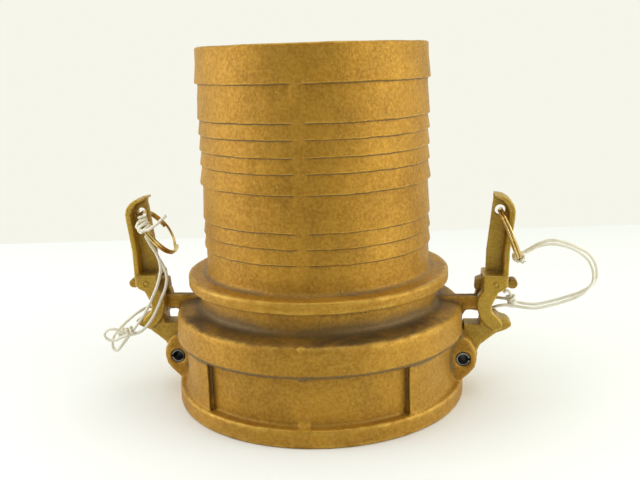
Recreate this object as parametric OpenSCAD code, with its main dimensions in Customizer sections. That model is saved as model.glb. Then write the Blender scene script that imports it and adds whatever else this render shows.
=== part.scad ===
// Cam and groove hose coupler, 6 inch, type C: a bronze socket with a serrated
// hose shank, two cam arms that lock over bosses, pull rings and tie strings.
// Z runs up the bore. The origin is the middle of the mouth, and the arms lie on X.

/* [Socket] */
// Radius of the socket that takes the male adapter
socket_r = 88.75; // [88.4:0.05:89]
// Radius of the lead-in at the mouth
lead_in_r = 89.4; // [89.3:0.1:89.6]
// Height of the lead-in
lead_in_h = 14; // [8:1:16]
// Radius of the rim round the mouth
rim_r = 101.2; // [100.5:0.1:102]
// Height of the rim
rim_h = 12.1; // [11:0.1:13]
// Radius of the panels between the ears
panel_r = 94.5; // [93.5:0.1:96]
// Height where the collar starts
collar_z = 45.1; // [44:0.1:46]
// Radius of the collar
collar_r = 101; // [100:0.1:102]

/* [Hose shank] */
// Outside radius of the shank's top
shank_r = 77.5; // [77:0.1:78]
// Radius of the bore through the shank
flow_r = 70.5; // [69:0.1:72]
// Overall height
height = 242.1; // [240:0.1:244]

/* [Gasket] */
// Outside radius
gasket_r = 89.7; // [89.4:0.1:89.8]
// Inside radius
gasket_bore_r = 76.2; // [75:0.1:78]
// Thickness
gasket_t = 6.35; // [6:0.05:6.4]

/* [Cam arms] */
// Distance of the arm's pivot from the bore's axis
pivot_x = 100.5; // [100:0.1:101]
// Height of the arm's pivot
pivot_z = 28.4; // [28:0.1:29]
// Radius of the roll pin
pin_r = 5; // [4.8:0.05:5.2]
// Width of the cam between the ears
cam_w = 15; // [14.4:0.1:15.2]
// Width of the block and cheeks
arm_w = 25.4; // [24:0.1:26]
// Width of the handle's flange
flange_w = 24.6; // [24:0.1:24.8]
// Width of the flange at the tip
tip_w = 20.8; // [20.4:0.1:21.2]
// Thickness of the handle's web
web_t = 4.6; // [4:0.1:6]
// Radius of the eye in the handle's tip
eye_r = 3.6; // [3.4:0.1:3.8]

/* [Lock] */
// Width of the locking boss
boss_w = 8.6; // [8:0.1:9]
// Height of the boss's top face
boss_z = 68.8; // [68.4:0.1:69]
// Width of the slots in the arm for the boss and the latch finger
slot_w = 10; // [9.6:0.1:10.4]
// Radius of the latch finger's cross pin
latch_pin_r = 2; // [1.8:0.05:2.1]

/* [Rings and string] */
// Mean radius of a pull ring
ring_r = 18; // [17.5:0.1:18.2]
// Diameter of the ring's wire
ring_wire = 2; // [1.8:0.1:2.2]
// How far the right ring leans out from plumb, in degrees
ring_lean_right = 22; // [20:1:30]
// How far the left ring leans in from plumb, in degrees
ring_lean_left = 37; // [34:1:40]
// Diameter of the tie string
string_d = 2; // [1.8:0.1:2.2]

/* [Hidden] */
$fn = 96;
through = 300;                      // longer than anything it cuts
gap = 0.3;                          // between pieces that only pass each other
ear_in = cam_w / 2 + gap;           // inner face of an ear
ear_out = 20.2;                     // outer face of an ear
eye = [125.4, 129.2];               // the eye, in an arm's own X and Z
latch = [122.3, 79.5];              // the latch finger's pin
slot_floor = 56.4;                  // the slot for the boss starts here
slot_roof = 83.4;                   // and ends over the latch finger
ring_drop = ring_r;                 // the ring's middle lies this far below the eye's
gasket_z = 48.6;                    // lip that the gasket rests on
groove_h = gasket_t + 0.05;         // groove that holds the gasket
sweep_r = 18.8;                     // room for the cam's nose to swing
cam_r = 10.6;                       // cam's round back, about the pivot
nose = [11, 6.2];                   // how far in the nose lies, and its radius
barb_steps = [218.5, 195.3, 185.5, 175, 165.2, 152.5, 129, 119, 109];
barb_root = 76.9;                   // shank radius just under a barb's edge
barb_edge = 78.2;                   // shank radius at a barb's edge
edge_drop = 0.7;                    // height of a barb's under-cut face
split_z = 91;                       // where the shank's wall stands on the bead

// A slab of an outline that is drawn in X and Z, w wide about Y = 0
module slab(w) rotate([90, 0, 0]) linear_extrude(w, center = true) children();

// A round bar along Y through x, z
module cross_bar(x, z, r, w) translate([x, 0, z]) rotate([90, 0, 0]) cylinder(r = r, h = w, center = true);

// What is drawn for the right side, on the left side
module left() rotate([0, 0, 180]) children();

// ---- coupler body ----
// The serrated stretch of the shank: each barb grows downward and then steps in
function barbs() = [for (z = barb_steps) each
    let (big = z == 152.5 || z == 218.5 ? 0.6 : 0)
    [[barb_edge + big, z + edge_drop], [barb_root - big / 3, z]]];

module bell_profile() polygon([
    [0, 0], [rim_r - 2.2, 0], [rim_r - 0.6, 1.2], [rim_r, 3.4], [rim_r, rim_h],
    [panel_r + 4.5, rim_h + 0.6], [panel_r + 2.2, rim_h + 3], [panel_r + 2.2, collar_z - 3],
    [collar_r - 0.8, collar_z], [collar_r, collar_z + 0.6], [collar_r - 1.1, 61.2],
    [collar_r - 2.4, 64], [collar_r - 5, 65], [84.5, 66.6], [83, 68], [83, 80],
    [84, 81.7], [89.6, 81.7], [90.8, 83], [90.8, 88.6], [89.4, 90], [78, 90.6],
    [77.6, split_z], [0, split_z]]);

module shank_profile() polygon(concat(
    [[flow_r, split_z], [77.6, split_z], [76.6, split_z + 1]],
    [for (i = [len(barb_steps) - 1 : -1 : 0]) each [barbs()[2 * i + 1], barbs()[2 * i]]],
    [[shank_r, 231], [shank_r, height - 1.6], [shank_r - 1.6, height], [flow_r, height]]));

module inside_profile() polygon([
    [0, -1], [lead_in_r, -1], [lead_in_r, lead_in_h], [socket_r, lead_in_h + 0.45],
    [socket_r, gasket_z], [gasket_r + gap, gasket_z], [gasket_r + gap, gasket_z + groove_h],
    [74, gasket_z + groove_h], [flow_r, 68], [flow_r, height], [0, height]]);

// One ear, from its face outline
module ear_outline() polygon([
    [84, 46.6], [98.5, 46.6], [105.6, 41.3], [109.1, 34.3], [109.8, 28.8],
    [108.5, 22.8], [104.5, 17.9], [100.4, 14.1], [94.8, 9.5], [84, 9.5]]);

module boss_outline() polygon([
    [80, boss_z], [115.2, boss_z], [115.4, 70.9], [117, 70.9], [117, 59.8],
    [109.5, 59.4], [103.5, 58.6], [99, 55.5], [90, 52], [80, 60]]);

// The slot for a cam: the nose swings up, and the round back only turns
module cam_slot() {
    cross_bar(pivot_x, pivot_z, cam_r + 0.6, 2 * ear_in);
    intersection() {
        cross_bar(pivot_x, pivot_z, sweep_r, 2 * ear_in);
        translate([60, -ear_in, pivot_z - cam_r + 2.4]) cube([80, 2 * ear_in, 60]);
    }
}

module side_of_body() {
    for (s = [-1, 1]) translate([0, s * (ear_in + ear_out) / 2, 0])
        slab(ear_out - ear_in) ear_outline();
    slab(boss_w) boss_outline();
}

// A panel: the wall is thinner between the ears, front and back
module panel_cut() rotate_extrude() translate([panel_r, rim_h]) square([12, collar_z - rim_h]);

module panel_wedge() {
    half = 40.5;                    // half of the angle that a panel spans
    reach = 130;
    linear_extrude(through) polygon([[0, 0], [reach * sin(half), -reach * cos(half)],
        [0, -reach * 1.5], [-reach * sin(half), -reach * cos(half)]]);
}

module coupler_body() color("#b8862f") difference() {
    union() {
        difference() {
            rotate_extrude() bell_profile();
            for (a = [0, 180]) rotate([0, 0, a]) intersection() {
                panel_cut();
                panel_wedge();
            }
        }
        side_of_body();
        left() side_of_body();
    }
    rotate_extrude() inside_profile();
    for (a = [0, 180]) rotate([0, 0, a]) {
        cam_slot();
        cross_bar(pivot_x, pivot_z, pin_r + 0.02, through / 4);
        for (s = [-1, 1]) translate([pivot_x, s * ear_out, pivot_z]) rotate([s * 90, 0, 0])
            cylinder(r1 = pin_r, r2 = pin_r + 1, h = 2, center = true);
    }
}

module hose_shank() color("#b8862f") rotate_extrude() shank_profile();

module gasket() color("#2a2a2b") translate([0, 0, gasket_z]) rotate_extrude()
    translate([gasket_bore_r, 0]) square([gasket_r - gasket_bore_r, gasket_t]);

// ---- cam arm, drawn for the right side ----
// The lever between the ears, from the cam's nose to its toe
module cam_outline() {
    translate([pivot_x, pivot_z]) circle(r = cam_r);
    translate([pivot_x - nose[0], pivot_z]) circle(r = nose[1]);
    polygon([[89.5, 22.2], [98.8, 17.95], [106, 19.3], [112.9, 34.6], [123.7, 43.3], [130.6, 45.9],
             [133.6, 47.9], [134, 50.2], [131.3, 52.6], [126.3, 54.2], [122.6, slot_floor], [113, slot_floor],
             [112.5, 49.3], [101.6, 49.3], [101.5, 46], [93, 40.2], [86.6, 33.9]]);
}

// The two cheeks that pass the boss on either side, and the block over them
module cheek_outline() polygon([
    [114.2, 85.5], [130.9, 85.5], [130.7, 78], [128.5, 75.4], [124.4, 73.5], [122.3, 69.2],
    [120.1, 64.4], [120, 61], [121.5, 58.3], [125.5, 54.4], [127.6, 51], [126.6, 47.9],
    [121.7, 45.6], [116, 50.2], [112.2, 55.1], [110.5, 60.6], [109.7, 66], [110.7, 70.7],
    [113.5, 74.5]]);

module flange_outline() polygon([
    [127.2, 85], [130.9, 85], [131.4, 101], [134.4, 123], [135, 129.5], [133.8, 133.8],
    [131, 137.2], [127.5, 139.4], [121.2, 140.6], [121.7, 138.8], [126.6, 136.6],
    [129.6, 133], [130.9, 129], [130.6, 123], [127.7, 101]]);

// The flange narrows a little towards the tip
module flange() intersection() {
    slab(flange_w) flange_outline();
    translate([eye[0] - 20, 0, 0]) rotate([90, 0, 90]) linear_extrude(40) polygon([
        [-flange_w / 2, 80], [flange_w / 2, 80], [flange_w / 2, 92], [tip_w / 2, 117], [tip_w / 2, 150],
        [-tip_w / 2, 150], [-tip_w / 2, 117], [-flange_w / 2, 92]]);
}

module web_outline() polygon([
    [116.4, 84.5], [116.8, 101], [119.6, 126], [120.4, 133], [121.4, 139.4], [127, 138],
    [131, 133], [132, 123], [129, 101], [128.7, 84.5]]);

module cam_arm() color("#a98a35") difference() {
    union() {
        slab(cam_w) cam_outline();
        slab(arm_w) cheek_outline();
        flange();
        slab(web_t) web_outline();
    }
    // room for the boss and, above it, for the latch finger
    translate([100, -slot_w / 2, slot_floor]) cube([40, slot_w, slot_roof - slot_floor]);
    cross_bar(pivot_x, pivot_z, pin_r + 0.06, through);
    cross_bar(latch[0], latch[1], latch_pin_r + 0.02, through);
    cross_bar(eye[0], eye[1], eye_r, 2 * web_t);
}

module cam_arm_right() cam_arm();
module cam_arm_left() left() cam_arm();

// ---- pivot pin: a slotted roll pin ----
module pivot_pin() color("#9a9a98") difference() {
    cross_bar(pivot_x, pivot_z, pin_r, 2 * ear_out - 1);
    cross_bar(pivot_x, pivot_z, pin_r - 1.6, through);
    translate([pivot_x, -through / 2, pivot_z - 0.8]) cube([2 * pin_r, through, 1.6]);
}
module pivot_pin_right() pivot_pin();
module pivot_pin_left() left() pivot_pin();

// ---- latch finger, its cross pin and its torsion spring ----
finger_w = slot_w - 2 * gap;
coil_y = 0.5;                       // the spring lies beside the hub from here
module finger_outline() {
    translate(latch) circle(r = 3.6);
    translate([134.6, 77.6]) circle(r = 3.4);
    polygon([[122.3, 83.1], [113, 82.4], [109.4, 81], [108.8, 74.2], [111.3, 73.6], [113.4, 77],
             [122.3, 75.9], [131, 75.5], [134, 74.3], [134, 80.9], [131, 79.4], [126, 79.8]]);
}
module latch_finger() color("#94792f") difference() {
    slab(finger_w) finger_outline();
    cross_bar(latch[0], latch[1], latch_pin_r + 0.06, through);
    // the hub is cut back on one side to make room for the spring
    translate([latch[0] - 5, coil_y, latch[1] - 6]) cube([9.2, slot_w, 12]);
}
module latch_finger_right() latch_finger();
module latch_finger_left() left() latch_finger();

module latch_pin() color("#8d8b84") cross_bar(latch[0], latch[1], latch_pin_r, arm_w - 0.4);
module latch_pin_right() latch_pin();
module latch_pin_left() left() latch_pin();

// A tube of given radius and sides, swept along a list of points
function unit(v) = v / max(norm(v), 0.000001);
function along(p, i) = unit(p[min(i + 1, len(p) - 1)] - p[max(i - 1, 0)]);
function side_of(t) = unit(cross(t, abs(t[2]) < 0.9 ? [0, 0, 1] : [1, 0, 0]));
function carry(s, t) = unit(s - t * (s * t));
function sides(p, i = 0, s = undef) = i == len(p) ? [] :
    let (t = along(p, i), now = is_undef(s) ? side_of(t) : carry(s, t))
    concat([now], sides(p, i + 1, now));
module tube(p, r, n = 8) {
    s = sides(p);
    polyhedron(
        [for (i = [0 : len(p) - 1]) let (t = along(p, i), b = cross(t, s[i]))
            for (k = [0 : n - 1]) p[i] + r * (cos(360 * k / n) * s[i] + sin(360 * k / n) * b)],
        concat([[for (k = [0 : n - 1]) k]],
               [for (i = [0 : len(p) - 2]) for (k = [0 : n - 1])
                   [i * n + k, (i + 1) * n + k, (i + 1) * n + (k + 1) % n, i * n + (k + 1) % n]],
               [[for (k = [n - 1 : -1 : 0]) (len(p) - 1) * n + k]]));
}

spring_wire = 0.8;
spring_r = latch_pin_r + 0.3 + spring_wire / 2;
spring_turns = 3.5;
spring_pitch = 0.92;
coil_steps = 12;                    // rings to a turn
module latch_spring() color("#c9c9c6") tube(concat(
    [[latch[0] + 4.5, coil_y + 0.7, latch[1] + spring_r]],
    [for (i = [0 : spring_turns * coil_steps]) let (a = 90 + 360 * i / coil_steps)
        [latch[0] + spring_r * cos(a), coil_y + 0.7 + spring_pitch * i / coil_steps,
         latch[1] + spring_r * sin(a)]]), spring_wire / 2, 8);
module latch_spring_right() latch_spring();
module latch_spring_left() left() latch_spring();

// ---- pull ring: two turns of wire that lie side by side ----
module split_ring() color("#c9a650") rotate([0, 90, 0]) translate([ring_drop, 0, 0])
    rotate_extrude() for (side = [-1, 1])
        translate([ring_r, side * ring_wire * 0.48]) circle(r = ring_wire / 2);
module at_eye(lean) translate([eye[0], 0, eye[1]]) rotate([0, -lean, 0]) children();
module pull_ring_right() at_eye(ring_lean_right) split_ring();
module pull_ring_left() left() at_eye(-ring_lean_left) split_ring();

// ---- tie strings and the knots that hold them to the rings ----
// A knot is a short sleeve of string wound round both of the ring's wires
knot_r = 5;
module knot(turn) color("#e6e3cf") rotate([0, 90, 0]) translate([ring_drop, 0, 0])
    rotate([0, 0, turn])
    intersection() {
        difference() {
            rotate_extrude() translate([ring_r, 0]) circle(r = knot_r);
            rotate_extrude() translate([ring_r, 0]) square([ring_wire + gap, 2 * ring_wire + 0.7], center = true);
        }
        rotate([0, 0, -11]) rotate_extrude(angle = 22) translate([8, -9]) square([18, 18]);
    }

// A smooth curve through chosen points, cut into even steps
function spline(p, i, u) =
    let (a = p[max(i - 1, 0)], b = p[i], c = p[i + 1], d = p[min(i + 2, len(p) - 1)])
    0.5 * ((2 * b) + (c - a) * u + (2 * a - 5 * b + 4 * c - d) * u * u
           + (3 * b - a - 3 * c + d) * u * u * u);
function route(p, steps = 2) = concat(
    [for (i = [0 : len(p) - 2]) for (k = [0 : steps - 1]) spline(p, i, k / steps)],
    [p[len(p) - 1]]);
module string(p) color("#e9e6d6") tube(route(p), string_d / 2);

// Right string: two strands leave the ring's knot for the top of a wide loop. From
// there it runs down and in, round the neck's far cheek, and back beside itself.
strand_out = [[141, -1, 97.8], [146, -1, 100.4], [152, -1, 103.5], [160, -1, 105], [168, -1, 104], [175.5, -1, 101.3]];
strand_back = [[141, 2, 97.8], [146, 2, 101], [152, 2, 104.5], [160, 2, 107], [168, 2, 106], [175.5, 2, 103.3]];
string_right = [
    [176, -1, 101], [184, -1, 95], [188, -2, 87], [188, -2, 78], [181, -3, 70], [170, -3, 65],
    [160, -3, 62], [150, -3, 60], [140, -3, 61], [132, -2, 62], [125, -1, 61], [119, 1, 58],
    [112, 2, 57.7], [107, 5, 57.5], [105.5, 10, 58], [108, 14, 60], [114, 15, 62],
    [121, 14.5, 63], [125, 10, 64], [128, 5, 65], [133, 2, 65], [140, 1, 63], [150, 0, 62],
    [160, 0, 64], [170, 0, 67], [181, 0, 71], [190, 0, 78], [191, 1, 88], [186, 2, 97], [176, 2, 103]];
module tie_knot_right() {
    at_eye(ring_lean_right) knot(0);
    string(strand_out);
    string(strand_back);
}
module tie_string_right() string(string_right);

// Left string: down from the knot, round a loop below the arm, and up round the far
// cheek. A second strand lies beside it, between the knot and the loop.
string_left = [
    [-120, -13, 114.8], [-117, -12.5, 108], [-112.5, -12.5, 100], [-110.5, -14, 91], [-113, -16, 80],
    [-117.5, -17, 70], [-123, -17.5, 60], [-129.7, -17.5, 50.9], [-136, -17, 43], [-142, -17, 35.6],
    [-147, -16, 30.4], [-150.5, -15, 33], [-149.5, -14, 40], [-145, -12, 46], [-139, -9, 51.5],
    [-133, -6, 56], [-126, -2, 59], [-119, 0, 58], [-112, 2, 57.7], [-107, 5, 57.5], [-105.5, 10, 58],
    [-108, 14, 60], [-114, 15, 62], [-121, 14, 63]];
strand_left = [
    [-113.5, -12.5, 101.5], [-109, -13, 93.5], [-106.5, -14, 86], [-107.5, -15, 78], [-111, -15.5, 70],
    [-115, -16, 61.5], [-120.5, -16.5, 52.5], [-128, -17, 45.2], [-136.4, -17, 42.6]];
module tie_knot_left() left() at_eye(-ring_lean_left) knot(125);
module tie_string_left() {
    string(string_left);
    string(strand_left);
}

coupler_body();
hose_shank();
gasket();
cam_arm_right();
cam_arm_left();
pivot_pin_right();
pivot_pin_left();
latch_finger_right();
latch_finger_left();
latch_pin_right();
latch_pin_left();
latch_spring_right();
latch_spring_left();
pull_ring_right();
pull_ring_left();
tie_knot_right();
tie_knot_left();
tie_string_right();
tie_string_left();
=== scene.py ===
"""Cam and groove hose coupler, 6 inch: sand-cast bronze body, brass cam arms, split rings and tie strings.

Shapes are drawn in millimetres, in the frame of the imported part, and scaled as they become meshes.
"""

import math

import bpy
import numpy as np
from mathutils import Matrix, Vector


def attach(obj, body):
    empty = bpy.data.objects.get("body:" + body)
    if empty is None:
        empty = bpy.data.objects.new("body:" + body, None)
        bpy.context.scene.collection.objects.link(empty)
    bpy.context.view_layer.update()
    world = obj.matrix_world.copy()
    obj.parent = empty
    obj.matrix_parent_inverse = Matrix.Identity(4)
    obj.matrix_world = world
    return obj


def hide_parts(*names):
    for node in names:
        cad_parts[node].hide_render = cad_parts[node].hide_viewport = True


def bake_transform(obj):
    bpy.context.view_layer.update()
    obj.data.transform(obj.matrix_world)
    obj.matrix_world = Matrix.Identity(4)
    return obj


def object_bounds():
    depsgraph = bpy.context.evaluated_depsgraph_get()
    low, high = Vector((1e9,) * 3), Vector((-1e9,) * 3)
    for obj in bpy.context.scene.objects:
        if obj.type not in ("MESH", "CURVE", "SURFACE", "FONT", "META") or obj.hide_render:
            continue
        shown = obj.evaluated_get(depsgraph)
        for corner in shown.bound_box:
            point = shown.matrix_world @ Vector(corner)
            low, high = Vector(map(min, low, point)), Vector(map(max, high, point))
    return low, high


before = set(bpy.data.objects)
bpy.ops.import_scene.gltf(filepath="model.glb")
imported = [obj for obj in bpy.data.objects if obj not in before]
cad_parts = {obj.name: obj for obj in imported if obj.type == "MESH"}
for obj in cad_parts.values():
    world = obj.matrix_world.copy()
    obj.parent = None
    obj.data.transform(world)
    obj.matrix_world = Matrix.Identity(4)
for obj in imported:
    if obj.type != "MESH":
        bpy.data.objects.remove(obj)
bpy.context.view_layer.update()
MM = 0.001

# ---- camera ----
# The eye stands in front of the coupler and a little above it, turned slightly to its right arm.
CAMERA_AT = (0.0672, -0.5477, 0.2323)
CAMERA_LENS = 45.27
CAMERA_PITCH = 12.67
CAMERA_ROLL = 1.739
CAMERA_YAW = 0.188
PART_TURN = 7.0


def camera_axes():
    """Right, up and forward of the camera, in the part's frame."""
    pitch, roll, yaw, turn = (math.radians(a) for a in (CAMERA_PITCH, CAMERA_ROLL, CAMERA_YAW, PART_TURN))
    level = Vector((math.cos(yaw), -math.sin(yaw), 0))
    ahead = Vector((math.sin(yaw), math.cos(yaw), 0))
    upright = Vector((0, 0, 1))
    forward = math.cos(pitch) * ahead - math.sin(pitch) * upright
    raised = math.sin(pitch) * ahead + math.cos(pitch) * upright
    right = math.cos(roll) * level - math.sin(roll) * raised
    up = math.sin(roll) * level + math.cos(roll) * raised
    turned = Matrix.Rotation(turn, 3, "Z")
    return turned @ right, turned @ up, turned @ forward


def in_scene(name, data):
    thing = bpy.data.objects.new(name, data)
    bpy.context.scene.collection.objects.link(thing)
    return thing


def make_camera():
    right, up, forward = camera_axes()
    camera = in_scene("camera", bpy.data.cameras.new("camera"))
    turn = Matrix((right, up, -forward)).transposed()
    camera.matrix_world = Matrix.Translation(CAMERA_AT) @ turn.to_4x4()
    camera.data.lens = CAMERA_LENS
    camera.data.sensor_width = 36
    camera.data.clip_start = 0.01
    bpy.context.scene.camera = camera


make_camera()


# ---- small mathematics ----
def smooth(value, low, high):
    """0 below low, 1 above high, and an even curve between."""
    t = np.clip((value - low) / (high - low), 0, 1)
    return t * t * (3 - 2 * t)


def scatter(cell, seed):
    """One fixed random number from -1 to 1 for each whole-numbered place."""
    mixed = cell[:, 0] * 374761393 + cell[:, 1] * 668265263 + cell[:, 2] * 2147483647 + seed * 974634777
    mixed = (mixed ^ (mixed >> 13)) * 1274126177
    mixed = mixed ^ (mixed >> 16)
    return (mixed & 0xFFFFFF) / float(0x7FFFFF) - 1.0


def grain(points, size, seed):
    """Smooth random values from -1 to 1, with lumps of that size."""
    place = points / size
    cell = np.floor(place).astype(np.int64)
    part = place - cell
    part = part * part * (3 - 2 * part)
    total = np.zeros(len(points))
    for corner in np.ndindex(2, 2, 2):
        weight = np.prod(np.where(corner, part, 1 - part), axis=1)
        total += weight * scatter(cell + np.array(corner), seed)
    return total


def on_side(side, points):
    """What is drawn for the right side, on either side."""
    return points * np.array([-1.0, -1.0, 1.0]) if side == "left" else points


# ---- solid shapes as distances ----
def outline_gap(u, v, corners):
    """Distance to a closed outline, less than 0 inside it."""
    nearest = np.full(u.shape, 1e9)
    inside = np.zeros(u.shape, bool)
    for (au, av), (bu, bv) in zip(corners, corners[1:] + corners[:1]):
        du, dv = bu - au, bv - av
        t = np.clip(((u - au) * du + (v - av) * dv) / (du * du + dv * dv), 0, 1)
        nearest = np.minimum(nearest, (u - au - t * du) ** 2 + (v - av - t * dv) ** 2)
        if av != bv:
            inside ^= ((av > v) != (bv > v)) & (u < du * (v - av) / dv + au)
    return np.where(inside, -1, 1) * np.sqrt(nearest)


def circle_gap(u, v, centre, radius):
    return np.hypot(u - centre[0], v - centre[1]) - radius


def both(a, b, soft):
    """Where two distances are both inside, with the edge between them rounded."""
    a = a + soft
    b = b + soft
    return np.minimum(np.maximum(a, b), 0) + np.hypot(np.maximum(a, 0), np.maximum(b, 0)) - soft


def plate(flat, across, half, soft):
    """A flat outline made thick, with rounded edges."""
    return both(flat, np.abs(across) - half, soft)


def disc(r, z, radius, low, high, soft):
    return both(r - radius, np.abs(z - (low + high) / 2) - (high - low) / 2, soft)


def melt(a, b, reach):
    """Two shapes joined, with a fillet."""
    near = np.maximum(reach - np.abs(a - b), 0) / reach
    return np.minimum(a, b) - near * near * reach / 4


def carve(a, b, reach):
    """The first shape with the second cut out of it."""
    return -melt(-a, b, reach)


def distances(shape, points):
    """The shape's distance at many points, a batch at a time."""
    return np.concatenate([shape(part) for part in np.array_split(points, max(1, len(points) // 200000))])


def sampled(shape, low, step, counts):
    """Distances on a grid. Only the blocks near the surface are worked out in full."""
    block = 4
    blocks = [-(-n // block) for n in counts]
    middles = np.stack(np.meshgrid(*[(np.arange(n) + 0.5) * block - 0.5 for n in blocks], indexing="ij"), -1)
    rough = distances(shape, (low + step * middles).reshape(-1, 3)).reshape(blocks)
    near = np.abs(rough) < step * block * 1.25
    field = np.repeat(np.repeat(np.repeat(rough, block, 0), block, 1), block, 2)
    fine = np.argwhere(np.repeat(np.repeat(np.repeat(near, block, 0), block, 1), block, 2))
    field[tuple(fine.T)] = distances(shape, low + step * fine)
    return field


def net(field, low, step):
    """A net of four-sided faces round the grid's inside."""
    inside = field < 0
    mixed = np.zeros(tuple(n - 1 for n in field.shape), int)
    for i, j, k in np.ndindex(2, 2, 2):
        mixed += inside[i:i - 1 or None, j:j - 1 or None, k:k - 1 or None]
    cells = np.argwhere((mixed > 0) & (mixed < 8))
    number = np.full(mixed.shape, -1)
    number[tuple(cells.T)] = np.arange(len(cells))
    total = np.zeros((len(cells), 3))
    count = np.zeros(len(cells))
    unit = np.eye(3, dtype=int)
    for axis in range(3):
        first, second = unit[(axis + 1) % 3], unit[(axis + 2) % 3]
        for shift in (0 * first, first, second, first + second):
            start = cells + shift
            a, b = field[tuple(start.T)], field[tuple((start + unit[axis]).T)]
            crossed = (a < 0) != (b < 0)
            total[crossed] += start[crossed]
            total[crossed, axis] += (a / (a - b))[crossed]
            count += crossed
    return low + step * total / count[:, None], net_faces(inside, number)


def net_faces(inside, number):
    faces = []
    unit = np.eye(3, dtype=int)
    for axis in range(3):
        first, second = unit[(axis + 1) % 3], unit[(axis + 2) % 3]
        ends = [slice(1, None)] * 3
        ends[axis] = slice(None, -1)
        starts = list(ends)
        ends[axis] = slice(1, None)
        there, next_one = inside[tuple(starts)], inside[tuple(ends)]
        at = np.argwhere(there != next_one) + 1 - unit[axis]
        at = at[np.all(at < np.array(number.shape), axis=1)]
        shifts = (0 * first, first, first + second, second)
        quad = np.stack([number[tuple((at - shift).T)] for shift in shifts], 1)
        outward = inside[tuple(at.T)]
        faces.append(np.where(outward[:, None], quad, quad[:, ::-1]))
    return np.concatenate(faces)


def slope(shape, points):
    """The direction in which the distance grows fastest, and how fast."""
    reach = 0.04
    ahead = [distances(shape, points + reach * axis) for axis in np.eye(3)]
    behind = [distances(shape, points - reach * axis) for axis in np.eye(3)]
    return (np.stack(ahead, 1) - np.stack(behind, 1)) / (2 * reach)


def spread(values, faces, count):
    """Each point's value averaged with those of its neighbours along the faces' edges."""
    tails = faces.ravel()
    heads = np.roll(faces, -1, axis=1).ravel()
    starts, ends = np.concatenate([tails, heads]), np.concatenate([heads, tails])
    amount = np.bincount(starts, minlength=count)
    columns = values.reshape(count, -1).T
    return np.stack([np.bincount(starts, weights=c[ends], minlength=count) / amount for c in columns], 1)


def skin(shape, low, high, step):
    """The surface of a shape: points that lie on it, and four-sided faces."""
    low, high = np.array(low, float), np.array(high, float)
    counts = np.ceil((high - low) / step).astype(int)
    points, faces = net(sampled(shape, low, step, counts), low, step)
    for turn in range(4):
        rise = slope(shape, points)
        steepness = np.maximum((rise ** 2).sum(1), 0.2)
        points -= rise * (distances(shape, points) / steepness)[:, None]
        if turn < 2:
            across = spread(points, faces, len(points)) - points
            normal = rise / np.sqrt(steepness)[:, None]
            points += 0.5 * (across - normal * (across * normal).sum(1)[:, None])
    return points, faces


# ---- meshes ----
def point_normals(points, faces):
    diagonals = points[faces[:, 2]] - points[faces[:, 0]], points[faces[:, 3]] - points[faces[:, 1]]
    across = np.cross(*diagonals)
    total = np.zeros_like(points)
    for corner in range(4):
        for axis in range(3):
            total[:, axis] += np.bincount(faces[:, corner], weights=across[:, axis], minlength=len(points))
    return total / np.maximum(np.linalg.norm(total, axis=1), 1e-12)[:, None]


def wear_and_light_values(points, faces, passes):
    """How far each point stands out of the surface round it, how deep it lies, and how much it faces up."""
    normal = point_normals(points, faces)
    wide = points
    for _ in range(passes):
        wide = spread(wide, faces, len(points))
    stand = ((points - wide) * normal).sum(1)
    stand = spread(stand, faces, len(points))[:, 0]
    return np.clip(stand / 0.22, 0, 1), np.clip(-stand / 0.25, 0, 1), np.clip(normal[:, 2], 0, 1)


def new_mesh(name, points, faces):
    mesh = bpy.data.meshes.new(name)
    if isinstance(faces, np.ndarray):
        faces = faces.tolist()
    mesh.from_pydata((np.asarray(points, float) * MM).tolist(), [], faces)
    mesh.validate()
    return mesh


def place(name, mesh, material, body, *nodes):
    """A piece with its finish, its body, and the CAD nodes that it stands for."""
    piece = in_scene(name, mesh)
    mesh.materials.clear()
    mesh.materials.append(material)
    mesh.shade_smooth()
    if body:
        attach(piece, body)
    if nodes:
        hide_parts(*nodes)
    return piece


def cast_piece(name, points, faces, wear_and_light, material, body, *nodes):
    """A piece with edge, hollow and shelf values for its finish, kept at each point of the mesh."""
    mesh = new_mesh(name, points, faces)
    for label, numbers in zip(("edge", "hollow", "shelf"), wear_and_light):
        attribute = mesh.attributes.new(label, "FLOAT", "POINT")
        attribute.data.foreach_set("value", np.asarray(numbers, np.float32))
    return place(name, mesh, material, body, *nodes)


def turned(section, sides):
    """A closed section [(r, z), ...] turned round Z. The section runs with its outside on its right."""
    angles = np.arange(sides) * 2 * math.pi / sides
    section = np.asarray(section, float)
    rows = np.stack([np.outer(section[:, 0], np.cos(angles)), np.outer(section[:, 0], np.sin(angles)),
                     np.repeat(section[:, 1:2], sides, 1)], -1)
    points = rows.reshape(-1, 3)
    count = len(section)
    row, column = np.meshgrid(np.arange(count), np.arange(sides), indexing="ij")
    here, after = row * sides, (row + 1) % count * sides
    beside = (column + 1) % sides
    return points, np.stack([here + column, here + beside, after + beside, after + column], -1).reshape(-1, 4)


# ---- node helpers ----
def feed(tree, node, inputs):
    """Gives a node its inputs. Each is a number, a colour or another node's output."""
    for name, value in inputs.items():
        if isinstance(value, bpy.types.NodeSocket):
            tree.links.new(value, node.inputs[name])
        else:
            node.inputs[name].default_value = value


def add(tree, kind, inputs=None, **settings):
    node = tree.nodes.new(kind)
    for name, value in settings.items():
        setattr(node, name, value)
    feed(tree, node, inputs or {})
    return node


def maths(tree, operation, a, b):
    return add(tree, "ShaderNodeMath", {0: a, 1: b}, operation=operation).outputs[0]


def between(tree, value, low, high, to_low=0.0, to_high=1.0):
    """A value stretched from one range to another, and kept inside it."""
    inputs = {"Value": value, "From Min": low, "From Max": high, "To Min": to_low, "To Max": to_high}
    return add(tree, "ShaderNodeMapRange", inputs).outputs[0]


def times(tree, a, b):
    return maths(tree, "MULTIPLY", a, b)


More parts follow.
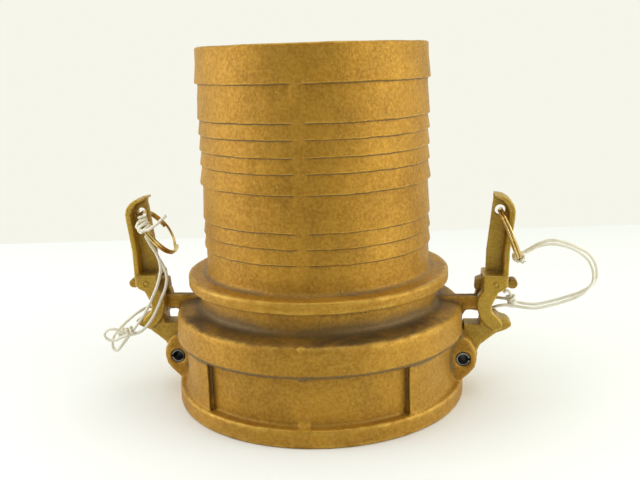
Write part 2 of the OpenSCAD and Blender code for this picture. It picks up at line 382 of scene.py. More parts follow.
def mixed(tree, share, a, b):
    return add(tree, "ShaderNodeMix", {0: share, 6: a, 7: b}, data_type="RGBA").outputs[2]


def noise(tree, at, scale, detail, roughness, distortion=0.0):
    inputs = {"Vector": at, "Scale": scale, "Detail": detail, "Roughness": roughness}
    return add(tree, "ShaderNodeTexNoise", inputs | {"Distortion": distortion}).outputs["Fac"]


def stored(tree, name):
    return add(tree, "ShaderNodeAttribute", attribute_name=name).outputs["Fac"]


def shade(red, green, blue):
    """A colour as the eye sees it, 0 to 255, as light."""
    parts = [c / 255 for c in (red, green, blue)]
    return tuple(c / 12.92 if c <= 0.04045 else ((c + 0.055) / 1.055) ** 2.4 for c in parts) + (1.0,)


def shader_group(name, inputs, outputs):
    """An empty node group: {name: starting value} in, and names out."""
    group = bpy.data.node_groups.new(name, "ShaderNodeTree")
    for label, value in inputs.items():
        group.interface.new_socket(label, in_out="INPUT", socket_type="NodeSocketFloat").default_value = value
    for label in outputs:
        group.interface.new_socket(label, in_out="OUTPUT", socket_type="NodeSocketFloat")
    return group, group.nodes.new("NodeGroupInput"), group.nodes.new("NodeGroupOutput")


def spaced(values):
    """Keyword names as the labels that sockets have."""
    return {name.replace("_", " "): value for name, value in values.items()}


def send(tree, node, **values):
    feed(tree, node, spaced(values))


def object_place(tree):
    return tree.nodes.new("ShaderNodeTexCoord").outputs["Object"]


def scaled(tree, vector, size):
    return add(tree, "ShaderNodeVectorMath", {0: vector, "Scale": size}, operation="SCALE").outputs[0]


def cast_grain_group():
    """The skin that sand leaves on a casting: fine grain, broad swells, scattered pits, and small painted
    glints.
    """
    group, start, end = shader_group("cast_grain", {"Size": 1.0, "Pits": 0.5},
                                      ["Height", "Pit", "Tone", "Fleck", "Mottle"])
    at = object_place(group)
    sized = scaled(group, at, start.outputs["Size"])
    fine = noise(group, sized, 1300.0, 3.0, 0.6)
    coarse = noise(group, sized, 480.0, 2.0, 0.5)
    broad = noise(group, sized, 38.0, 4.0, 0.6, 0.4)
    cells = add(group, "ShaderNodeTexVoronoi", {"Vector": sized, "Scale": 260.0}).outputs["Distance"]
    spots = between(group, cells, 0.10, 0.22, 1.0, 0.0)
    pit = times(group, spots, between(group, coarse, 0.52, 0.66))
    pit = times(group, pit, start.outputs["Pits"])
    raised = maths(group, "ADD", times(group, fine, 0.75), times(group, coarse, 0.55))
    height = maths(group, "SUBTRACT", raised, times(group, pit, 0.8))
    glint = between(group, noise(group, sized, 620.0, 1.0, 0.5), 0.66, 0.74)
    send(group, end, Height=height, Pit=pit, Tone=broad, Fleck=glint, Mottle=coarse)
    return group


def edge_wear_and_highlight_group():
    """Where corners are rubbed bright and a painted highlight is laid along them, broken up so that it is
    never an even line.
    """
    group, start, end = shader_group("edge_wear_and_highlight", {"Amount": 1.0, "Breakup": 90.0}, ["Rubbed"])
    broken = noise(group, object_place(group), start.outputs["Breakup"], 4.0, 0.65)
    edge = times(group, stored(group, "edge"), between(group, broken, 0.32, 0.62, 0.15, 1.6))
    rubbed_and_lit = between(group, times(group, edge, start.outputs["Amount"]), 0.26, 1.0)
    send(group, end, Rubbed=rubbed_and_lit)
    return group


def grime_and_shade_group():
    """Dirt and painted shade in the hollows, and a dull film on what faces up."""
    group, start, end = shader_group("grime_and_shade", {"In hollows": 1.0, "On top": 0.5}, ["Dirt", "Film"])
    at = object_place(group)
    patches = noise(group, at, 28.0, 5.0, 0.65, 0.6)
    hollow = times(group, stored(group, "hollow"), between(group, patches, 0.3, 0.6, 0.5, 1.3))
    dirt_and_shade = between(group, times(group, hollow, start.outputs["In hollows"]), 0.06, 0.8)
    up = times(group, between(group, stored(group, "shelf"), 0.45, 0.95), start.outputs["On top"])
    film = times(group, up, between(group, patches, 0.34, 0.62, 0.3, 1.0))
    send(group, end, Dirt=dirt_and_shade, Film=film)
    return group


GROUPS = {"grain": cast_grain_group(), "wear_and_light": edge_wear_and_highlight_group(), "grime_and_shade": grime_and_shade_group()}


def use(tree, name, **values):
    return add(tree, "ShaderNodeGroup", spaced(values), node_tree=GROUPS[name]).outputs


def new_material(name):
    material = bpy.data.materials.new(name)
    material.use_nodes = True
    tree = material.node_tree
    tree.nodes.clear()
    output = tree.nodes.new("ShaderNodeOutputMaterial")
    surface = tree.nodes.new("ShaderNodeBsdfPrincipled")
    tree.links.new(surface.outputs[0], output.inputs["Surface"])
    return material, tree, surface


def bump(tree, height, strength, distance):
    inputs = {"Height": height, "Strength": strength, "Distance": distance}
    return add(tree, "ShaderNodeBump", inputs).outputs[0]


# ---- finishes ----
def cast_metal(name, light, dark, rubbed_and_lit, dirt_and_shade, film, metallic, rough, size, pits, wear_and_light, on_top, depth):
    """Cast bronze or brass: its own colours, with painted shade in the hollows, painted highlights on rubbed
    edges and small painted glints.
    """
    material, tree, surface = new_material(name)
    skin_of = use(tree, "grain", Size=size, Pits=pits)
    worn_and_lit = use(tree, "wear_and_light", Amount=wear_and_light)["Rubbed"]
    # soiled holds dirt and painted shade in the hollows, and the dull film on what faces up
    soiled = use(tree, "grime_and_shade", In_hollows=1.0, On_top=on_top)
    colour = mixed(tree, between(tree, skin_of["Tone"], 0.34, 0.66), dark, light)
    warm = noise(tree, object_place(tree), 9.0, 3.0, 0.6)
    colour = mixed(tree, between(tree, warm, 0.35, 0.7, 0.0, 0.25), colour, rubbed_and_lit)
    mottle = between(tree, skin_of["Mottle"], 0.36, 0.64)
    colour = mixed(tree, 0.28, colour, mixed(tree, mottle, dark, rubbed_and_lit))
    # small painted glints in the lighter rubbed colour
    colour = mixed(tree, times(tree, skin_of["Fleck"], 0.45), colour, rubbed_and_lit)
    colour = mixed(tree, times(tree, skin_of["Pit"], 0.7), colour, dirt_and_shade)
    colour = mixed(tree, soiled["Film"], colour, film)
    # dirt and painted shade: hollows, the neck under the bead and the barb roots darkened towards the dirt
    # colour
    colour = mixed(tree, times(tree, soiled["Dirt"], 0.75), colour, dirt_and_shade)
    # rubbed wear and a painted highlight: edges lightened towards the rubbed colour
    colour = mixed(tree, times(tree, worn_and_lit, 0.6), colour, rubbed_and_lit)
    dull = between(tree, skin_of["Height"], 0.4, 0.95, rough + 0.12, rough - 0.08)
    dull = maths(tree, "SUBTRACT", dull, times(tree, worn_and_lit, 0.16))
    dull = maths(tree, "ADD", dull, times(tree, soiled["Film"], 0.15))
    metal = maths(tree, "SUBTRACT", metallic, times(tree, soiled["Dirt"], 0.4))
    normal = bump(tree, skin_of["Height"], 0.9, depth)
    send(tree, surface, Base_Color=colour, Roughness=dull, Metallic=metal, Normal=normal)
    return material


def bright_metal(name, colour, tarnish, rough):
    """Drawn wire and turned pins: fine lines, a little tarnish."""
    material, tree, surface = new_material(name)
    at = object_place(tree)
    patches = noise(tree, at, 160.0, 4.0, 0.6)
    lines = noise(tree, at, 1400.0, 2.0, 0.7)
    dulled = between(tree, patches, 0.42, 0.68)
    dull = between(tree, dulled, 0.0, 1.0, rough, rough + 0.25)
    send(tree, surface, Base_Color=mixed(tree, dulled, colour, tarnish), Roughness=dull, Metallic=1.0,
         Normal=bump(tree, lines, 0.35, 0.00003))
    return material


def rubber_finish(name):
    material, tree, surface = new_material(name)
    at = object_place(tree)
    bloom = noise(tree, at, 45.0, 5.0, 0.65)
    fine = noise(tree, at, 1600.0, 2.0, 0.6)
    colour = mixed(tree, between(tree, bloom, 0.4, 0.7), shade(30, 30, 31), shade(72, 70, 68))
    send(tree, surface, Base_Color=colour, Roughness=between(tree, bloom, 0.3, 0.7, 0.55, 0.8),
         Normal=bump(tree, fine, 0.5, 0.00008))
    return material


def cotton_finish(name, light, soiled):
    """Twisted cotton: soft, matt, with loose fibres and a few grey stretches."""
    material, tree, surface = new_material(name)
    at = object_place(tree)
    fibres = noise(tree, at, 2600.0, 3.0, 0.7)
    stretches = noise(tree, at, 70.0, 3.0, 0.6)
    colour = mixed(tree, between(tree, stretches, 0.5, 0.72, 0.0, 0.6), light, soiled)
    colour = mixed(tree, between(tree, fibres, 0.35, 0.65, 0.3, 0.0), colour, soiled)
    send(tree, surface, Base_Color=colour, Roughness=0.9, Sheen_Weight=0.35, Sheen_Roughness=0.4,
         Normal=bump(tree, fibres, 0.5, 0.0001))
    return material


BRONZE = cast_metal("cast_bronze", shade(183, 133, 31), shade(152, 106, 18), shade(208, 166, 68),
                    shade(92, 74, 40), shade(86, 64, 30), metallic=0.55, rough=0.5, size=1.0, pits=0.7,
                    wear_and_light=0.75, on_top=0.95, depth=0.0004)
BRASS = cast_metal("arm_brass", shade(190, 152, 40), shade(156, 120, 26), shade(212, 182, 86),
                   shade(84, 66, 26), shade(140, 116, 48), metallic=0.42, rough=0.42, size=1.3, pits=0.3,
                   wear_and_light=0.8, on_top=0.2, depth=0.00025)
FINGER_BRASS = cast_metal("finger_brass", shade(170, 130, 38), shade(130, 96, 24), shade(200, 168, 78),
                          shade(70, 54, 24), shade(126, 100, 42), metallic=0.5, rough=0.46, size=1.5,
                          pits=0.3, wear_and_light=0.8, on_top=0.2, depth=0.0002)
PIN_STEEL = bright_metal("pin_steel", shade(136, 136, 132), shade(58, 57, 54), 0.34)
SPRING_STEEL = bright_metal("spring_steel", shade(200, 200, 196), shade(140, 138, 130), 0.25)
RING_BRASS = bright_metal("ring_brass", shade(228, 202, 134), shade(180, 150, 86), 0.2)
RUBBER = rubber_finish("gasket_rubber")
COTTON = cotton_finish("string_cotton", shade(251, 249, 234), shade(218, 213, 188))


# ---- curves and geometry trees ----
def spline(corners, step):
    """Points at even steps along a smooth curve through the corners."""
    p = np.asarray(corners, float)
    points = []
    for i in range(len(p) - 1):
        a, b, c, d = p[max(i - 1, 0)], p[i], p[i + 1], p[min(i + 2, len(p) - 1)]
        for u in np.arange(16) / 16:
            points.append(0.5 * (2 * b + (c - a) * u + (2 * a - 5 * b + 4 * c - d) * u * u
                                 + (3 * b - a - 3 * c + d) * u ** 3))
    points = np.array(points + [p[-1]])
    along = np.concatenate([[0], np.cumsum(np.linalg.norm(np.diff(points, axis=0), axis=1))])
    stops = np.linspace(0, along[-1], max(2, int(round(along[-1] / step)) + 1))
    return np.stack([np.interp(stops, along, points[:, axis]) for axis in range(3)], 1)


def length_of(points):
    return float(np.linalg.norm(np.diff(points, axis=0), axis=1).sum())


def path_mesh(name, points):
    mesh = bpy.data.meshes.new(name)
    mesh.from_pydata((np.asarray(points) * MM).tolist(), [(i, i + 1) for i in range(len(points) - 1)], [])
    return mesh


def geometry_tree(name, inputs):
    """A tree with a path coming in, named sizes and a material, and a mesh going out."""
    tree = bpy.data.node_groups.new(name, "GeometryNodeTree")
    tree.interface.new_socket("Path", in_out="INPUT", socket_type="NodeSocketGeometry")
    for label, value in inputs.items():
        kind = "NodeSocketInt" if isinstance(value, int) else "NodeSocketFloat"
        tree.interface.new_socket(label, in_out="INPUT", socket_type=kind).default_value = value
    tree.interface.new_socket("Finish", in_out="INPUT", socket_type="NodeSocketMaterial")
    tree.interface.new_socket("Mesh", in_out="OUTPUT", socket_type="NodeSocketGeometry")
    return tree, tree.nodes.new("NodeGroupInput").outputs, tree.nodes.new("NodeGroupOutput")


def finish_tree(tree, end, geometry, finish):
    real = add(tree, "GeometryNodeRealizeInstances", {"Geometry": geometry}).outputs[0]
    painted = add(tree, "GeometryNodeSetMaterial", {"Geometry": real, "Material": finish}).outputs[0]
    tree.links.new(painted, end.inputs[0])


def swept(tree, curve, sides, radius):
    """A round section carried along a curve, cut square at both ends."""
    section = add(tree, "GeometryNodeCurvePrimitiveCircle", {"Resolution": sides, "Radius": radius})
    inputs = {"Curve": curve, "Profile Curve": section.outputs[0], "Fill Caps": True}
    return add(tree, "GeometryNodeCurveToMesh", inputs).outputs[0]


def wire_tree():
    tree, start, end = geometry_tree("bent_wire", {"Wire radius": 0.001, "Sides": 12})
    curve = add(tree, "GeometryNodeMeshToCurve", {"Mesh": start["Path"]}).outputs[0]
    finish_tree(tree, end, swept(tree, curve, start["Sides"], start["Wire radius"]), start["Finish"])
    return tree


def one_ply(tree, start, curve, phase):
    """One yarn of a twisted string, wound round the path."""
    turns = add(tree, "GeometryNodeSplineParameter").outputs["Length"]
    turns = maths(tree, "DIVIDE", turns, start["Lay"])
    angle = maths(tree, "MULTIPLY_ADD", turns, 2 * math.pi)
    angle.node.inputs[2].default_value = phase
    normal = add(tree, "GeometryNodeInputNormal").outputs[0]
    tangent = add(tree, "GeometryNodeInputTangent").outputs[0]
    turned_by = add(tree, "ShaderNodeVectorRotate", {"Vector": normal, "Axis": tangent, "Angle": angle},
                    rotation_type="AXIS_ANGLE").outputs[0]
    offset = scaled(tree, turned_by, start["Spread"])
    yarn = add(tree, "GeometryNodeSetPosition", {"Geometry": curve, "Offset": offset}).outputs[0]
    return swept(tree, yarn, start["Sides"], start["Yarn radius"])


def twine_tree():
    """Three yarns twisted together along a path."""
    sizes = {"Yarn radius": 0.0005, "Spread": 0.0005, "Lay": 0.006, "Step": 0.0005, "Sides": 7}
    tree, start, end = geometry_tree("twisted_twine", sizes)
    curve = add(tree, "GeometryNodeMeshToCurve", {"Mesh": start["Path"]}).outputs[0]
    even = add(tree, "GeometryNodeResampleCurve", {"Curve": curve, "Length": start["Step"]}, mode="LENGTH")
    joined = tree.nodes.new("GeometryNodeJoinGeometry")
    for k in range(3):
        tree.links.new(one_ply(tree, start, even.outputs[0], k * 2 * math.pi / 3), joined.inputs[0])
    finish_tree(tree, end, joined.outputs[0], start["Finish"])
    return tree


WIRE_TREE = wire_tree()
TWINE_TREE = twine_tree()


def grown(name, path, tree, finish, **sizes):
    """The plain mesh that a tree makes along a path."""
    seedling = in_scene(name + "_path", path_mesh(name + "_path", path))
    modifier = seedling.modifiers.new("grow", "NODES")
    modifier.node_group = tree
    values = spaced(sizes) | {"Finish": finish}
    for item in tree.interface.items_tree:
        if item.in_out == "INPUT" and item.name in values:
            modifier[item.identifier] = values[item.name]
    bpy.context.view_layer.update()
    evaluated = seedling.evaluated_get(bpy.context.evaluated_depsgraph_get())
    mesh = bpy.data.meshes.new_from_object(evaluated)
    seedling.modifiers.clear()
    bpy.data.objects.remove(seedling)
    mesh.name = name
    return mesh


def twine(name, path):
    sizes = {"Yarn_radius": 0.0006, "Spread": 0.00058, "Lay": 0.0046, "Step": 0.0005, "Sides": 7}
    return grown(name, path, TWINE_TREE, COTTON, **sizes)


def together(name, meshes):
    """Several meshes as one."""
    points, faces = [], []
    for mesh in meshes:
        base = len(points)
        points += [tuple(v.co / MM) for v in mesh.vertices]
        faces += [[base + i for i in polygon.vertices] for polygon in mesh.polygons]
    return new_mesh(name, points, faces)


# ---- sizes shared by the pieces ----
LINING = 70.5
PIVOT = (100.5, 28.4)
PIN_R = 5.0
PIN_WALL = 1.6
PIN_SLOT = 1.6
EYE = (125.4, 129.2)
EYE_R = 3.6
LATCH = (122.3, 79.5)
LATCH_PIN_R = 2.0
RING_R = 18.0
RING_WIRE = 2.0
RING_DROP = RING_R
LEAN = {"right": 22.0, "left": 37.0}


def ring_point(side, turn, out=0.0, across=0.0):
    """A place by a pull ring: turn is in degrees from its lowest point."""
    lean = math.radians(-LEAN[side] if side == "right" else LEAN[side])
    a = np.radians(turn)
    x, y, z = across, (RING_R + out) * np.sin(a), -(RING_R + out) * np.cos(a) - RING_DROP
    leaned = np.array([EYE[0] + x * math.cos(lean) + z * math.sin(lean), y,
                       EYE[1] - x * math.sin(lean) + z * math.cos(lean)])
    return leaned if side == "right" else leaned * np.array([-1, -1, 1])


# ---- tie strings and their knots ----
STRING_D = 2.0
STRAND_OUT = [
    (141, -1, 97.8), (146, -1, 100.4), (152, -1, 103.5), (160, -1, 105), (168, -1, 104),
    (175.5, -1, 101.3)]
STRAND_BACK = [
    (141, 2, 97.8), (146, 2, 101), (152, 2, 104.5), (160, 2, 107), (168, 2, 106), (175.5, 2, 103.3)]
STRING_RIGHT = [
    (176, -1, 101), (184, -1, 95), (188, -2, 87), (188, -2, 78), (181, -3, 70), (170, -3, 65),
    (160, -3, 62), (150, -3, 60), (140, -3, 61), (132, -2, 62), (125, -1, 61), (119, 1, 58),
    (112, 2, 57.7), (107, 5, 57.5), (105.5, 10, 58), (108, 14, 60), (114, 15, 62), (121, 14.5, 63),
    (125, 10, 64), (128, 5, 65), (133, 2, 65), (140, 1, 63), (150, 0, 62), (160, 0, 64), (170, 0, 67),
    (181, 0, 71), (190, 0, 78), (191, 1, 88), (186, 2, 97), (176, 2, 103)]
STRING_LEFT = [
    (-120, -13, 114.8), (-117, -12.5, 108), (-112.5, -12.5, 100), (-110.5, -14, 91), (-113, -16, 80),
    (-117.5, -17, 70), (-123, -17.5, 60), (-129.7, -17.5, 50.9), (-136, -17, 43), (-142, -17, 35.6),
    (-147, -16, 30.4), (-150.5, -15, 33), (-149.5, -14, 40), (-145, -12, 46), (-139, -9, 51.5),
    (-133, -6, 56), (-126, -2, 59), (-119, 0, 58), (-112, 2, 57.7), (-107, 5, 57.5), (-105.5, 10, 58),
    (-108, 14, 60), (-114, 15, 62), (-121, 14, 63)]
STRAND_LEFT = [
    (-113.5, -12.5, 101.5), (-109, -13, 93.5), (-106.5, -14, 86), (-107.5, -15, 78), (-111, -15.5, 70),
    (-115, -16, 61.5), (-120.5, -16.5, 52.5), (-128, -17, 45.2), (-136.4, -17, 42.6)]


def wraps(side, at, turns, pitch, loose=0.0):
    """String wound round both wires of a ring, about the place at that turn."""
    points = []
    for a in np.arange(0, turns * 360 + 1, 20):
        along = at + (a / 360 - turns / 2) * pitch
        wobble = 0.35 * math.sin(a * 0.021) + loose
        out = (RING_WIRE / 2 + STRING_D / 2 + 0.2 + wobble) * math.cos(math.radians(a))
        across = (RING_WIRE + STRING_D / 2 + 0.2 + wobble) * math.sin(math.radians(a))
        points.append(ring_point(side, along, out, across))
    return spline(points, 0.8)


def bunch(name, body, paths, *nodes):
    """Several strings as one piece."""
    meshes = [twine(name + "_" + str(k), path) for k, path in enumerate(paths)]
    return place(name, together(name, meshes), COTTON, body, *nodes)


def make_string(name, node, side, corners, start, end):
    """A string that runs between a pull ring and its arm."""
    route = spline(corners, 1.0)
    string = place(name, twine(name, route), COTTON, None, node)
    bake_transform(string)
    return string, route


def make_right_knot():
    bar = [ring_point("right", *at) for at in ((-14, 3.0, 2.4), (0, 4.4, 1.0), (14, 3.0, 2.4))]
    paths = [wraps("right", 0, 4, 7.5), spline(bar, 0.8)]
    return bunch("string_knot_right", "ring_right", paths, "tie_knot_right")


def wound_round(points, turns, radius):
    """String wound round a stretch of other string."""
    points = np.asarray(points, float)
    along = spline(points, length_of(points) / (turns * 16))
    way = np.gradient(along, axis=0)
    way /= np.linalg.norm(way, axis=1)[:, None]
    side = np.cross(way, (0, 1, 0.2))
    side /= np.linalg.norm(side, axis=1)[:, None]
    across = np.cross(way, side)
    a = np.linspace(0, turns * 2 * math.pi, len(along))[:, None]
    out = radius + 0.3 * np.sin(a * 1.7)
    return along + out * (np.cos(a) * side + np.sin(a) * across)


def make_left_bundle():
    """The knot by the lower loop, with a small side loop."""
    knot = wound_round([(-133, -16.6, 46.5), (-138.5, -16, 44.5), (-144, -14.6, 43.5)], 3.5, 2.5)
    side = [(-141, -18, 44), (-146, -19, 47.5), (-151, -19, 47), (-154.5, -18.5, 43.5), (-152.5, -18, 39.5),
            (-147, -18.5, 39), (-142, -19.5, 41.5), (-136, -20, 44)]
    return bunch("string_bundle_left", "arm_left", [knot, spline(side, 0.8)])


def make_right_bundle():
    """The knot that closes the right string's small loop behind the arm's cheek."""
    knot = wound_round([(133.5, 0, 60.5), (135, 0.5, 64), (133.8, 0.5, 68)], 3.0, 2.3)
    ends = [(134, 1, 67), (133.2, -1, 70.5), (130.8, -2.5, 72.4), (129, -2.5, 71)]
    bunch("string_bundle_right", "arm_right", [knot, spline(ends, 0.8)])


def make_left_knot():
    start = ring_point("left", 112, 3.4, 2.2)
    tail = [start, start + (6, -2, 1), start + (12, -3, 4.5), start + (20, -3, 11)]
    paths = [wraps("left", 125, 3, 10.5, 0.25), wraps("left", 118, 2, -10.0, 1.1), spline(tail, 0.8)]
    return bunch("string_knot_left", "ring_left", paths, "tie_knot_left")


RIGHT_BEND = {"start": (0.17, 0, 0.100), "end": (0.17, 0, 0.080)}
LEFT_BEND = {"start": (-0.119, 0, 0.117), "end": (-0.119, 0, 0.095)}
knot_right = make_right_knot()
both_strands = STRAND_OUT + STRING_RIGHT + STRAND_BACK[::-1]
loop_right = make_string("string_loop_right", "tie_string_right", "right", both_strands, **RIGHT_BEND)
knot_left = make_left_knot()
loop_left = make_string("string_loop_left", "tie_string_left", "left", STRING_LEFT, **LEFT_BEND)
strand_left = make_string("string_strand_left", "tie_string_left", "left", STRAND_LEFT, **LEFT_BEND)
make_left_bundle()
make_right_bundle()


# ---- the cast body ----
COLLAR = [
    (60, 45.1), (100.3, 45.1), (101, 46.0), (99.9, 61.2), (98.6, 64), (95.5, 65.2), (84.5, 66.6),
    (60, 66.6)]
EAR = [
    (84, 46.6), (98.5, 46.6), (105.6, 41.3), (109.1, 34.3), (109.8, 28.8), (108.5, 22.8), (104.5, 17.9),
    (100.4, 14.1), (94.8, 9.5), (84, 9.5)]
BOSS = [
    (80, 68.8), (115.2, 68.8), (115.4, 70.9), (117, 70.9), (117, 59.8), (109.5, 59.4), (103.5, 58.6),
    (99, 55.5), (90, 52), (80, 60)]
FLASH = [(88, 6), (101.2, 6), (101.2, 11.2), (97, 14), (94.5, 15.6), (88, 15.6)]
INSIDE = [
    (-1, -9), (89.4, -9), (89.4, 14), (88.75, 14.45), (88.75, 48.6), (90, 48.6), (90, 55), (74, 55),
    (70.5, 68), (70.5, 120), (-1, 120)]


def wall_radius(x, turn, z):
    """The wall between rim and collar: a flat panel front and back, and a pad that falls away to the ears."""
    pad = 99.0 - 5.0 * smooth(turn, 41, 80) + 2.4 * smooth(turn, 58, 78) * np.clip((z - 27) / 18, -1, 1) ** 2
    return 94.5 + (pad - 94.5) * smooth(x, 63.5, 64.5)


def bell(p):
    """The body: rim, wall, collar, neck, bead, ears and bosses, with the socket and slots cut out."""
    x, y, z = np.abs(p[:, 0]), np.abs(p[:, 1]), p[:, 2]
    r = np.hypot(x, y)
    turn = np.degrees(np.arctan2(x, y))
    solid = both(r - wall_radius(x, turn, z), np.abs(z - 37) - 27, 0.3)
    solid = melt(solid, disc(r, z, 101.2, 0, 12.1, 1.5), 1.2 + 4 * smooth(turn, 44, 62))
    solid = melt(solid, outline_gap(r, z, COLLAR), 1.0)
    solid = melt(solid, disc(r, z, 83, 60, 88, 0.5), 4.0)
    solid = melt(solid, disc(r, z, 90.8, 81.7, 90.0, 1.7), 1.4)
    flash = both(x - 3.2, outline_gap(r, z, FLASH), 0.6)
    solid = melt(solid, flash, 0.8)
    nubs = np.minimum(disc(r, z, 101.5, 44.0, 46.8, 0.5), disc(r, z, 99.7, 62.0, 64.9, 0.5))
    solid = melt(solid, both(x - 1.6, nubs, 0.4), 0.8)
    solid = melt(solid, plate(outline_gap(x, z, EAR), y - 14, 6.2, 0.9), 2.2)
    solid = melt(solid, plate(outline_gap(x, z, BOSS), y, 4.3, 0.8), 3.5)
    return cut_body(solid, x, y, z, r)


def cut_body(solid, x, y, z, r):
    about_pin = circle_gap(x, z, PIVOT, 0)
    sweep = np.minimum(np.maximum(about_pin - 18.8, 20.2 - z), about_pin - 11.2)
    between_ears = np.minimum(sweep, np.maximum(96.5 - x, np.abs(z - 29.5) - 15.5))
    solid = carve(solid, np.maximum(between_ears, y - 7.8), 0.6)
    solid = carve(solid, outline_gap(r, z, INSIDE), 0.3)
    hole = about_pin - PIN_R - 0.03 - 0.9 * np.clip(y - 19.4, 0, 1)
    return carve(solid, np.maximum(hole, 90 - x), 0.2)


def roughen(points, faces, lumps, seed, keep=None):
    """Moves a cast skin in and out a little. keep is 0 where it was machined."""
    normal = point_normals(points, faces)
    swell = sum(height * grain(points, size, seed + i) for i, (size, height) in enumerate(lumps))
    if keep is not None:
        swell = swell * keep
    return points + normal * swell[:, None]


def make_body():
    points, faces = skin(bell, (-119, -104, -2), (119, 104, 92.5), 1.4)
    r = np.hypot(points[:, 0], points[:, 1])
    machined = (r < 90.4) & (points[:, 2] < 60)
    in_hole = circle_gap(np.abs(points[:, 0]), points[:, 2], PIVOT, 6.5) < 0
    keep = np.where(machined | in_hole, 0.0, 1.0) * smooth(points[:, 2], 0.6, 2.5)
    edge, hollow, shelf = wear_and_light_values(points, faces, 2)
    z = points[:, 2]
    # painted shade: the neck under the bead is darkened through the hollow value
    neck = smooth(z, 64.0, 66.5) * (1 - smooth(z, 69, 80)) * (1 - smooth(r, 84, 92)) * (r > 80)
    under_collar = smooth(z, 43.4, 44.6) * (1 - smooth(z, 46.4, 47.4)) * (r > 92)
    on_ledge = smooth(z, 9, 11) * (1 - smooth(z, 17, 22)) * (r > 92)
    flash = (np.abs(points[:, 0]) < 6) & (z < 20)
    edge = edge * (1 - under_collar) * np.where(flash, 0.1, 1.0)
    # hollow here: dirt and painted shade in hollows, painted shade at the neck, grey-green residue under the
    # collar
    hollow = np.clip(hollow * (0.8 - 0.6 * on_ledge) + 0.6 * neck + 1.1 * under_collar, 0, 1)
    shelf = shelf * np.where((z > 60) & (z < 75), 1.0, np.where(z > 85, 0.3, 0.12))
    points = roughen(points, faces, [(16, 0.20), (6, 0.12), (2.6, 0.07)], 11, keep)
    cast_piece("body_bell", points, faces, (edge, hollow, shelf), BRONZE, "coupler", "coupler_body")


# ---- the hose shank ----
BARB_STEPS = [218.5, 195.3, 185.5, 175.0, 165.2, 152.5, 129.0, 119.0, 109.0]
BIG_BARBS = (218.5, 152.5)
BARB_ROOT = 76.9
BARB_EDGE = 78.2
EDGE_DROP = 0.7
SHANK_R = 77.5
HEIGHT = 242.1
SPLIT_Z = 90.0


def shank_rows():
    """Rows up the outside as (radius, height, edge, hollow), close together at each barb's edge."""
    rows = [(81.6, SPLIT_Z - 0.4, 0, 0.5), (80.2, SPLIT_Z + 0.2, 0, 0.6), (78.6, SPLIT_Z + 1.0, 0, 0.5),
            (77.7, SPLIT_Z + 2.2, 0, 0.2), (77.45, SPLIT_Z + 4.0, 0, 0)]
    for z in sorted(BARB_STEPS):
        big = 0.6 if z in BIG_BARBS else 0.0
        root, edge = BARB_ROOT - big / 3, BARB_EDGE + big
        rows += climb(rows[-1], (root + 0.05, z - 0.55, 0, 0.1))
        # hollow 1.0 at each barb's root gives dirt and painted shade under its lip; edge 1.0 gives wear and a
        # painted highlight along the lip
        rows += [(root, z - 0.15, 0, 1.0), (root + 0.05, z + 0.12, 0, 1.0),
                 (edge - 0.12, z + EDGE_DROP * 0.8, 0.3, 0.15), (edge, z + EDGE_DROP + 0.15, 1.0, 0),
                 (edge - 0.02, z + EDGE_DROP + 0.55, 0.35, 0)]
    rows += climb(rows[-1], (SHANK_R + 0.1, 232.0, 0, 0))
    rows += climb(rows[-1], (SHANK_R, HEIGHT - 1.2, 0.1, 0))
    # the top rim's edge values give it wear and a painted highlight along its lit edge
    return rows + [(SHANK_R - 0.35, HEIGHT - 0.5, 0.9, 0), (SHANK_R - 1.1, HEIGHT - 0.1, 0.9, 0),
                   (SHANK_R - 2.0, HEIGHT, 0.4, 0)]


def climb(start, end):
    """Rows from one to the next, about 1.7 apart, without the first."""
    steps = max(1, int(round((end[1] - start[1]) / 1.7)))
    first, last = np.array((start[0], start[1], 0, 0)), np.array(end, float)
    rows = [tuple(first + (last - first) * k / steps) for k in range(1, steps + 1)]
    return [(r, z, 0, 0) for r, z, _, _ in rows[:-1]] + [end]


def make_shank():
    sides = 560
    outer = shank_rows()
    inner = [(LINING + 0.6, HEIGHT, 0.5, 0), (LINING, HEIGHT - 0.7, 0.5, 0)]
    inner += [(LINING, z, 0, 0) for z in np.linspace(236, SPLIT_Z, 30)]
    rows = np.array(outer + inner)
    points, faces = turned(rows[:, :2], sides)
    edge, hollow = np.repeat(rows[:, 2], sides), np.repeat(rows[:, 3], sides)
    r = np.hypot(points[:, 0], points[:, 1])
    z = points[:, 2].copy()
    outside = r > LINING + 3
    barbed = smooth(z, 96, 104) * (1 - smooth(z, 228, 238)) * outside
    # the mould's joint leaves a smooth band, front and back, that the barbs fade into
    band = (1 - smooth(np.abs(points[:, 0]), 2.6, 5.6)) * barbed
    plain = 77.5 + 0.25 * (z > 150)
    points[:, :2] *= ((r + (plain - r) * band * 0.8) / r)[:, None]
    points[:, 2] += (0.28 * grain(points, 9.0, 5) + 0.16 * grain(points, 2.8, 6)) * barbed
    # worn stretches where a barb is nearly lost
    lost = smooth(grain(points, 17.0, 8), 0.15, 0.6) * barbed * 0.45
    points[:, :2] *= (1 + (plain - r) * lost * (r < plain) / r)[:, None]
    keep = np.where(outside, 1.0, 0.6) * smooth(z, SPLIT_Z, SPLIT_Z + 3)
    points = roughen(points, faces, [(22, 0.20), (7, 0.10), (3.0, 0.06)], 21, keep)
    fade = 1 - band * 0.85
    wear_and_light = (edge * fade, hollow * fade * (1 - lost), 0 * edge)
    cast_piece("body_shank", points, faces, wear_and_light, BRONZE, "coupler", "hose_shank")


